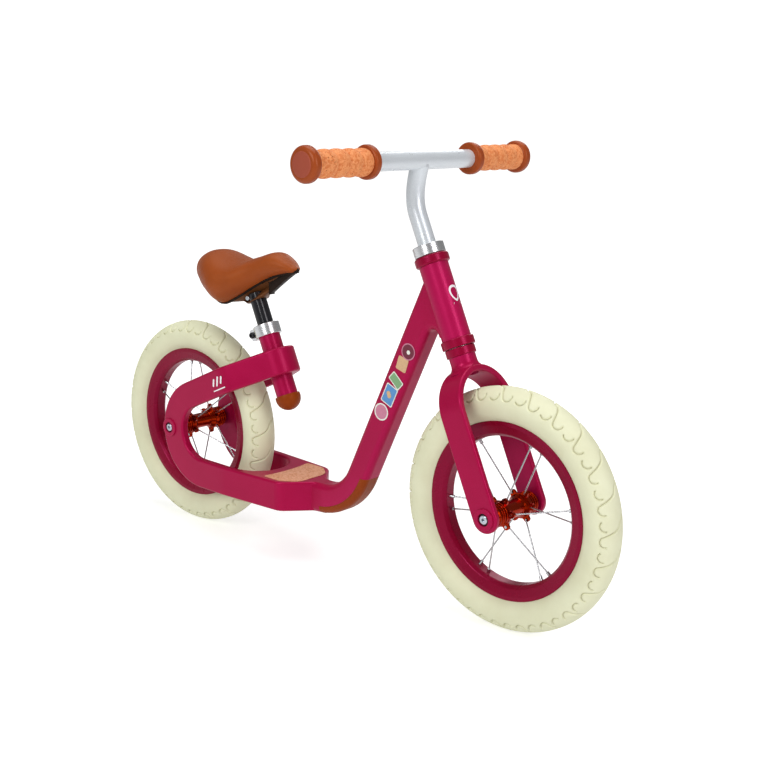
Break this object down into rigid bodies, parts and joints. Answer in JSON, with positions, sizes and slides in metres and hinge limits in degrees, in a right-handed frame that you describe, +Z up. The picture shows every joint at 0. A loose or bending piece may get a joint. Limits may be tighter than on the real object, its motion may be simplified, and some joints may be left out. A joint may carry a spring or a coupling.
{
  "type": "balance bike",
  "caption": "Child's balance bike with a step-through frame, footrest platform, foam tyres on spoked wheels, padded saddle and straight handlebar.",
  "frame": {"origin": "on the ground, midway between the wheels, under the middle of the handlebar's width", "axes": "+X forward, the way the bike rolls, +Y to the rider's left, +Z up"},
  "size_m": [0.837, 0.391, 0.555],
  "materials": {
    "frame_paint": "satin raspberry red metallic paint",
    "headset_paint": "satin raspberry red paint",
    "rim_paint": "satin deep red paint",
    "hub_anodised": "glossy red orange anodising",
    "cork": "pressed cork granules",
    "brown_rubber": "satin brown moulded rubber",
    "brown_plastic": "semi-gloss brown moulded grip rubber",
    "bright_alloy": "bright turned alloy",
    "silver_tube": "satin silver paint",
    "bolt_steel": "zinc plated steel",
    "black_steel": "black oxide steel",
    "black_tube": "gloss black paint",
    "bearing_steel": "ground steel",
    "spoke_steel": "bright steel wire",
    "tyre_foam": "cream moulded foam, matte",
    "saddle_leather": "smooth brown synthetic leather",
    "saddle_shell": "brown moulded shell"
  },
  "bodies": {
    "frame": {"main_frame": "frame_paint", "footrest_pad": "cork", "corner_guard": "brown_rubber", "seat_tube_cap": "brown_rubber", "seat_clamp": "bright_alloy", "seat_clamp_bolt": "black_steel", "lower_headset_cup": "headset_paint", "upper_headset_cup": "headset_paint", "lower_headset_bearing": "bearing_steel", "upper_headset_bearing": "bearing_steel", "rear_axle": "bearing_steel", "rear_axle_bolts": "bolt_steel", "rear_axle_washers": "black_steel"},
    "fork": {"fork": "frame_paint", "steerer_tube": "bearing_steel", "crown_race": "headset_paint", "stem_clamp": "bright_alloy", "stem_clamp_bolt": "black_steel", "front_axle": "bearing_steel", "front_axle_bolts": "bolt_steel", "front_axle_washers": "black_steel"},
    "handlebar": {"handlebar": "silver_tube", "stem": "silver_tube", "left_grip_core": "brown_plastic", "right_grip_core": "brown_plastic", "left_grip_sleeve": "cork", "right_grip_sleeve": "cork", "left_grip_cap": "brown_plastic", "right_grip_cap": "brown_plastic"},
    "front_wheel": {"front_tyre": "tyre_foam", "front_rim": "rim_paint", "front_hub": "hub_anodised", "front_spokes": "spoke_steel", "front_nipples": "spoke_steel", "front_bearings": "bearing_steel"},
    "rear_wheel": {"rear_tyre": "tyre_foam", "rear_rim": "rim_paint", "rear_hub": "hub_anodised", "rear_spokes": "spoke_steel", "rear_nipples": "spoke_steel", "rear_bearings": "bearing_steel"},
    "seat": {"saddle_cover": "saddle_leather", "saddle_base": "saddle_shell", "seat_post": "black_tube", "saddle_bolt": "bolt_steel"}
  },
  "joints": [
    {"name": "steering", "type": "hinge", "parent": "frame", "child": "fork", "pos_m": [0.2735, 0, 0.145], "axis": [-0.421, 0, 0.907], "continuous": true},
    {"name": "handlebar_height", "type": "slide", "parent": "fork", "child": "handlebar", "axis": [-0.421, 0, 0.907], "range_m": [-0.035, 0.03]},
    {"name": "front_wheel_spin", "type": "hinge", "parent": "fork", "child": "front_wheel", "pos_m": [0.2735, 0, 0.145], "axis": [0, 1, 0], "continuous": true},
    {"name": "rear_wheel_spin", "type": "hinge", "parent": "frame", "child": "rear_wheel", "pos_m": [-0.2735, 0, 0.145], "axis": [0, 1, 0], "continuous": true},
    {"name": "seat_height", "type": "slide", "parent": "frame", "child": "seat", "axis": [-0.4226, 0, 0.9063], "range_m": [-0.01, 0.05]}
  ]
}
